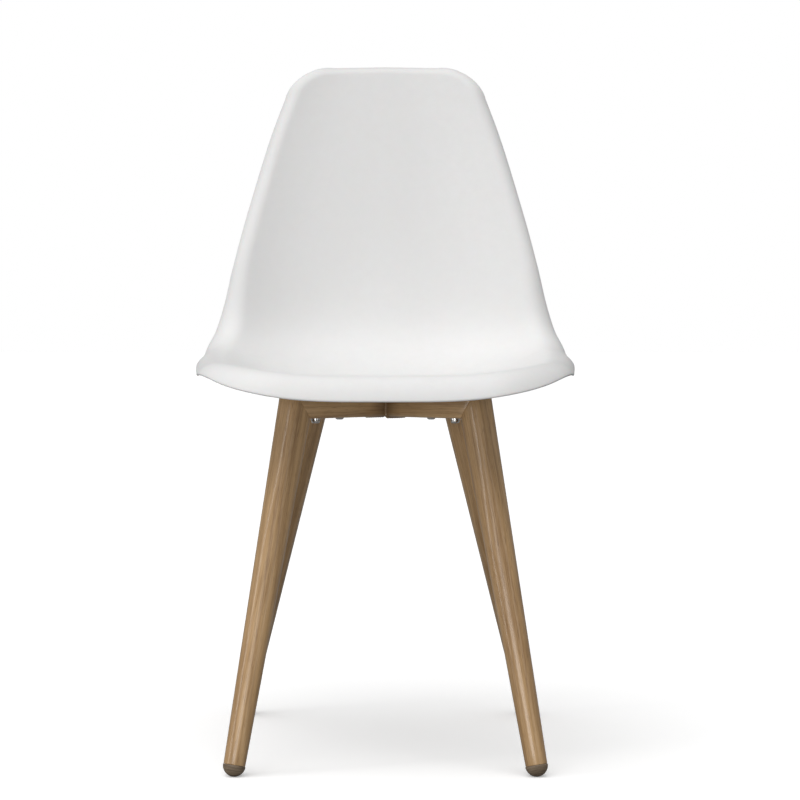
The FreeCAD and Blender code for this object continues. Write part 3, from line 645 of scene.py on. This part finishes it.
def make_leg(corner, number, count=96, rows=34):
    """Tapered tube, round at the foot and squarer where it is formed to meet the bar."""
    bottom, top, axis, start = leg_axes(corner)
    length = (top - bottom).length
    end = length + LEG_OVERRUN
    ease, lift, rounded = 0.25 * MM, 0.1 * MM, 0.4 * MM
    inner = FOOT_RADIUS - LEG_WALL
    profile = [(inner, LEG_OPENING), (inner, ease), (FOOT_RADIUS - ease, lift)]

    def section(height):
        radius = FOOT_RADIUS + LEG_GROWTH * height / end
        formed = float(blend(length - FORMED_LOW, length - FORMED_HIGH, np.array(height)))
        power = 2.0 + FORMED_POWER * formed
        radius = radius / 2.0 ** (0.5 - 1.0 / power)

        def reach(angle):
            cos, sin = np.abs(np.cos(angle)), np.abs(np.sin(angle))
            return radius / (cos**power + sin**power) ** (1.0 / power)

        return reach

    profile += [(section(height), height) for height in np.linspace(rounded, end, rows)]
    points, faces = tube(turned(profile, count, bottom, axis, start))
    normal = mitre_plane(corner)
    level = Vector((top.x, top.y, BAR_TOP))
    points, faces = trimmed(points, faces, [(top, normal), (level, UP)])
    grain = local_grain(points, bottom, axis, start, (0.37 * number, 0.61 * number, 0.83 * number))
    piece(f"leg_{corner}", points, faces, OAK, [f"{corner}_leg"], grain)


def make_cap(corner, number, count=96, steps=20):
    """Domed foot cap, flat on the floor, with a shallow groove where it meets the tube."""
    bottom, _, axis, start = leg_axes(corner)
    plug = FOOT_RADIUS - LEG_WALL - PLUG_GAP
    step_in, ease, groove = 0.8 * MM, 0.4 * MM, 0.15 * MM
    profile = [(plug, PLUG_LENGTH), (plug, 0.0), (CAP_RADIUS - step_in, 0.0), (CAP_RADIUS - ease, -groove)]
    for turn in np.radians(np.linspace(4.0, 89.0, steps)):
        profile.append((CAP_RADIUS * math.cos(turn), -CAP_RADIUS * math.sin(turn)))
    points, faces = tube(turned(profile, count, bottom, axis, start))
    points = np.array(points)
    points[:, 2] = np.maximum(points[:, 2], 0.0)
    grain = local_grain(points, bottom, axis, start, (0.2 * number, 0.4 * number, 0.0))
    faces = [face[::-1] for face in faces]
    piece(f"cap_{corner}", points, faces, CAP, [f"{corner}_foot_cap"], grain)


# ---------------------------------------------------------------- bars and weld beads
def bar_section(corner_steps=6):
    """Rounded rectangle as (sideways, up) points."""
    points = []
    for quarter, (sx, sz) in enumerate([(1.0, 1.0), (-1.0, 1.0), (-1.0, -1.0), (1.0, -1.0)]):
        for k in range(corner_steps + 1):
            turn = math.pi / 2.0 * (quarter + k / corner_steps)
            points.append((
                sx * (BAR_HALF_WIDTH - BAR_CORNER) + BAR_CORNER * math.cos(turn),
                sz * (BAR_HALF_HEIGHT - BAR_CORNER) + BAR_CORNER * math.sin(turn),
            ))
    return np.array(points)


def bar_axes(angle):
    """Directions along and across a bar that leaves the crossing at an angle."""
    along = Vector((math.cos(angle), math.sin(angle), 0.0))
    return along, UP.cross(along)


def make_bar(name, node, angle, start, end, cuts, number):
    """Bar from or through the crossing, mitred against the legs of the corners in cuts."""
    along, across = bar_axes(angle)
    section = bar_section()
    rings = [
        np.array(CROSSING) + np.array(along) * place
        + section[:, :1] * np.array(across) + section[:, 1:] * np.array(UP)
        for place in np.linspace(start, end, 12)
    ]
    points, faces = tube(rings)
    planes = [(leg_axes(corner)[1], -mitre_plane(corner)) for corner in cuts]
    points, faces = trimmed(points, faces, planes)
    grain = local_grain(points, CROSSING, along, across, (0.53 * number, 0.29 * number, 0.71 * number))
    piece(name, points, faces, OAK, [node], grain)


def make_bead(name, angle, number, count=220, sides=10):
    """Rippled weld bead round the butt joint of an arm against the through bar."""
    along, across = bar_axes(angle)
    section = bar_section()
    closed = np.vstack([section, section[:1]])
    lengths = np.concatenate([[0.0], np.cumsum(np.hypot(*np.diff(closed, axis=0).T))])
    place = np.linspace(0.0, lengths[-1], count, endpoint=False)
    centre = np.stack([np.interp(place, lengths, closed[:, k]) for k in range(2)], axis=-1)
    outward_dir = centre / np.array([BAR_HALF_WIDTH, BAR_HALF_HEIGHT])
    outward_dir = np.sign(outward_dir) * np.abs(outward_dir) ** 6
    outward_dir /= np.linalg.norm(outward_dir, axis=-1, keepdims=True)
    ripple = 1.0 + 0.10 * np.sin(place / BEAD_RIPPLE * math.pi)
    points, faces = [], []
    for k in range(sides):
        turn = 2.0 * math.pi * k / sides
        radius = BEAD_RADIUS * ripple[:, None]
        offset = centre + outward_dir * radius * math.cos(turn)
        points.append(
            np.array(CROSSING) + np.array(along) * (BAR_HALF_WIDTH + radius * (0.3 + math.sin(turn)))
            + offset[:, :1] * np.array(across) + offset[:, 1:] * np.array(UP)
        )
    for k in range(sides):
        first = list(range(k * count, (k + 1) * count))
        other = (k + 1) % sides
        faces += strip(first, list(range(other * count, (other + 1) * count)))
    points = np.concatenate(points)
    points[:, 2] = np.minimum(points[:, 2], BAR_TOP)
    grain = local_grain(points, CROSSING, across, along, (0.9 * number, 0.3, 0.1))
    piece(name, points, faces, OAK, (), grain)


# ---------------------------------------------------------------- fasteners
def hexagon(flats):
    """Radius of a hexagon, given its width across flats, as a function of the angle."""
    def reach(angle):
        sixth = np.mod(angle, math.pi / 3.0) - math.pi / 6.0
        return flats / 2.0 / np.cos(sixth)

    return reach


def make_bolt(corner, count=72, steps=12):
    """Button-head bolt, its head down, with a hexagon socket."""
    foot = corner_point(corner, CORNERS[corner][4], SPRING_LOW.z)
    height = SPRING_LOW.z - HEAD_BOTTOM
    cone, mouth, land, ease, point = 0.5 * MM, 0.64 * SOCKET_FLATS, 0.45 * MM, 0.25 * MM, 0.5 * MM
    profile = [
        (0.1 * SOCKET_FLATS, -height + SOCKET_DEPTH + cone),
        (hexagon(SOCKET_FLATS), -height + SOCKET_DEPTH),
        (hexagon(SOCKET_FLATS), -height + ease),
        (mouth, -height),
    ]
    for k in range(steps + 1):
        turn = math.pi / 2.0 * k / steps
        profile.append((
            mouth + (BOLT_HEAD_RADIUS - mouth) * math.sin(turn) ** 0.9,
            -height + (height - land) * (1.0 - math.cos(turn)),
        ))
    profile += [
        (BOLT_HEAD_RADIUS - ease, 0.0), (THREAD_RADIUS, 0.0),
        (THREAD_RADIUS, THREAD_LENGTH - point), (THREAD_RADIUS - point, THREAD_LENGTH),
    ]
    return tube(turned(profile, count, foot, UP, Vector((1.0, 0.0, 0.0))))


def make_flat_washer(corner, count=72):
    """Flat ring with eased corners."""
    foot = corner_point(corner, CORNERS[corner][4], FLAT_LOW.z)
    inner, outer, thick, ease = WASHER_INNER, FLAT_OUTER, FLAT_HIGH.z - FLAT_LOW.z, 0.2 * MM
    section = [
        (inner, ease), (inner + ease, 0.0), (outer - ease, 0.0), (outer, ease),
        (outer, thick - ease), (outer - ease, thick), (inner + ease, thick), (inner, thick - ease),
    ]
    return ring_solid(turned(section, count, foot, UP, Vector((1.0, 0.0, 0.0))))


def ring_solid(rings):
    """Points and faces of a ring through rings of equal count, the last joined to the first."""
    count = len(rings[0])
    rows = [list(range(k * count, (k + 1) * count)) for k in range(len(rings))]
    faces = [face for low, high in zip(rows, rows[1:] + rows[:1]) for face in strip(low, high)]
    return np.concatenate(rings), faces


def make_spring_washer(corner, count=64):
    """Split ring of rectangular section, its ends a little apart in height."""
    foot = corner_point(corner, CORNERS[corner][4], SPRING_LOW.z)
    inner, outer, thick, rise = WASHER_INNER, SPRING_OUTER, SPRING_HIGH.z - SPRING_LOW.z, 0.25 * MM
    split = 1.2 * MM
    gap = split / (2.0 * outer)
    angle = np.linspace(gap, 2.0 * math.pi - gap, count)
    lift = rise * (angle - gap) / (2.0 * (math.pi - gap))
    corners = [(inner, 0.0), (outer, 0.0), (outer, thick - rise), (inner, thick - rise)]
    rings = [
        np.stack([foot.x + r * np.cos(angle), foot.y + r * np.sin(angle), foot.z + h + lift], axis=-1)
        for r, h in corners
    ]
    rows = [list(range(k * count, (k + 1) * count)) for k in range(4)]
    faces = [face for low, high in zip(rows, rows[1:] + rows[:1]) for face in strip(low, high, closed=False)]
    faces += [tuple(row[0] for row in reversed(rows)), tuple(row[-1] for row in rows)]
    return np.concatenate(rings), [face[::-1] for face in faces]


def gather(name, maker, node):
    """One piece of the four alike fasteners."""
    points, faces, base = [], [], 0
    for corner in CORNERS:
        some_points, some_faces = maker(corner)
        points.append(np.asarray(some_points))
        faces += [tuple(i + base for i in face) for face in some_faces]
        base += len(some_points)
    piece(name, np.concatenate(points), faces, NICKEL, [node], sharp=math.radians(35.0))


# ---------------------------------------------------------------- build
make_shell()
for number, corner in enumerate(CORNERS, start=1):
    make_boss(corner)
    make_leg(corner, number)
    make_cap(corner, number)
TO_FRONT_LEFT, TO_FRONT_RIGHT, TO_REAR_LEFT = math.radians(225.0), math.radians(315.0), math.radians(135.0)
FRONT_END, REAR_END = (reach * math.sqrt(2.0) + LEG_OVERRUN for reach in (FRONT_REACH, REAR_REACH))
through_corners = ["front_left", "rear_right"]
make_bar("bar_through", "crossbar_through", TO_FRONT_LEFT, -REAR_END, FRONT_END, through_corners, 1)
make_bar("bar_front_arm", "crossbar_front_arm", TO_FRONT_RIGHT, BAR_HALF_WIDTH, FRONT_END, ["front_right"], 2)
make_bar("bar_rear_arm", "crossbar_rear_arm", TO_REAR_LEFT, BAR_HALF_WIDTH, REAR_END, ["rear_left"], 3)
make_bead("weld_front_arm", TO_FRONT_RIGHT, 1)
make_bead("weld_rear_arm", TO_REAR_LEFT, 2)
gather("bolts", make_bolt, "seat_bolts")
gather("washers_flat", make_flat_washer, "flat_washers")
gather("washers_spring", make_spring_washer, "spring_washers")

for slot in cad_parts["threaded_inserts"].material_slots:
    slot.material = BRASS


# ---------------------------------------------------------------- floor, light, camera
FLOOR_HALF = 400.0
FLOOR_BOUNCE, FLOOR_SEEN, FLOOR_GLOW = 0.28, 0.95, 0.30
WORLD_LIGHT, WORLD_SEEN = 0.26, 1.0
CAMERA_DISTANCE, CAMERA_HEIGHT = 2.6, 0.474
CAMERA_LENS, CAMERA_SHIFT = 97.74, (0.01825, -0.0625)
CHAIR_MIDDLE = (0.0, 0.0, 0.45)
TALL_STRIP = {"shape": "RECTANGLE", "size": 0.4, "size_y": 1.5}
WIDE_PANEL = {"shape": "RECTANGLE", "size": 2.0, "size_y": 0.8}


def seen_directly(tree, low, high):
    """A level that is high for what is looked at directly and low for the light it sends on."""
    path = tree.nodes.new("ShaderNodeLightPath")
    level = tree.nodes.new("ShaderNodeMapRange")
    level.inputs["To Min"].default_value = low
    level.inputs["To Max"].default_value = high
    tree.links.new(path.outputs["Is Camera Ray"], level.inputs["Value"])
    return level.outputs["Result"]


def make_floor():
    """White studio floor whose bounce is held back, as on a small sweep."""
    n = Nodes("floor")
    place = n.new("ShaderNodeTexCoord").outputs["Object"]
    cloud = n.span(n.noise(place, 0.8, 2.0, 0.5), 0.3, 0.7, 0.98, 1.0)
    level = seen_directly(n.tree, FLOOR_BOUNCE, FLOOR_SEEN)
    albedo = n.new("ShaderNodeMath", {0: cloud, 1: level}, operation="MULTIPLY").outputs[0]
    n.shade(
        Base_Color=albedo,
        Roughness=0.95,
        Specular_IOR_Level=0.0,
        Emission_Color=(1.0, 1.0, 1.0, 1.0),
        Emission_Strength=seen_directly(n.tree, 0.0, FLOOR_GLOW),
    )
    corners = [(FLOOR_HALF * x, FLOOR_HALF * y, 0.0) for x, y in ((-1, -1), (1, -1), (1, 1), (-1, 1))]
    mesh = bpy.data.meshes.new("floor")
    mesh.from_pydata(corners, [], [(0, 1, 2, 3)])
    mesh.materials.append(n.material)
    floor = bpy.data.objects.new("floor", mesh)
    bpy.context.scene.collection.objects.link(floor)


def lamp(name, kind, place, target, energy, **settings):
    """A light at a place, turned towards a target."""
    data = bpy.data.lights.new(name, kind)
    data.energy = energy
    for key, value in settings.items():
        setattr(data, key, value)
    thing = bpy.data.objects.new(name, data)
    thing.location = place
    thing.rotation_euler = (Vector(target) - Vector(place)).to_track_quat("-Z", "Y").to_euler()
    bpy.context.scene.collection.objects.link(thing)


def make_light():
    """Even white world, a broad light overhead, a strip on each side, and a low panel in front."""
    world = bpy.data.worlds.new("studio")
    bpy.context.scene.world = world
    world.use_nodes = True
    tree = world.node_tree
    background = tree.nodes["Background"]
    background.inputs["Color"].default_value = (1.0, 1.0, 1.0, 1.0)
    tree.links.new(seen_directly(tree, WORLD_LIGHT, WORLD_SEEN), background.inputs["Strength"])
    lamp("overhead", "SUN", (-0.55, -1.0, 3.0), (0.0, 0.0, 0.0), 1.95, angle=math.radians(70.0))
    lamp("left_strip", "AREA", (-2.3, -1.0, 0.75), CHAIR_MIDDLE, 8.0, **TALL_STRIP)
    lamp("right_strip", "AREA", (1.9, -2.1, 0.75), CHAIR_MIDDLE, 3.0, **TALL_STRIP)
    lamp("front_fill", "AREA", (-0.9, -3.5, 0.5), CHAIR_MIDDLE, 26.0, **WIDE_PANEL)


def make_camera():
    """Level camera straight in front of the chair."""
    data = bpy.data.cameras.new("camera")
    data.sensor_width = 36.0
    data.lens = CAMERA_LENS
    data.shift_x, data.shift_y = CAMERA_SHIFT
    data.clip_end = 1000.0
    camera = bpy.data.objects.new("camera", data)
    camera.location = (0.0, CROSSING.y - CAMERA_DISTANCE, CAMERA_HEIGHT)
    camera.rotation_euler = (math.pi / 2.0, 0.0, 0.0)
    bpy.context.scene.collection.objects.link(camera)
    bpy.context.scene.camera = camera


make_floor()
make_light()
make_camera()
bpy.context.scene.view_settings.view_transform = "Standard"
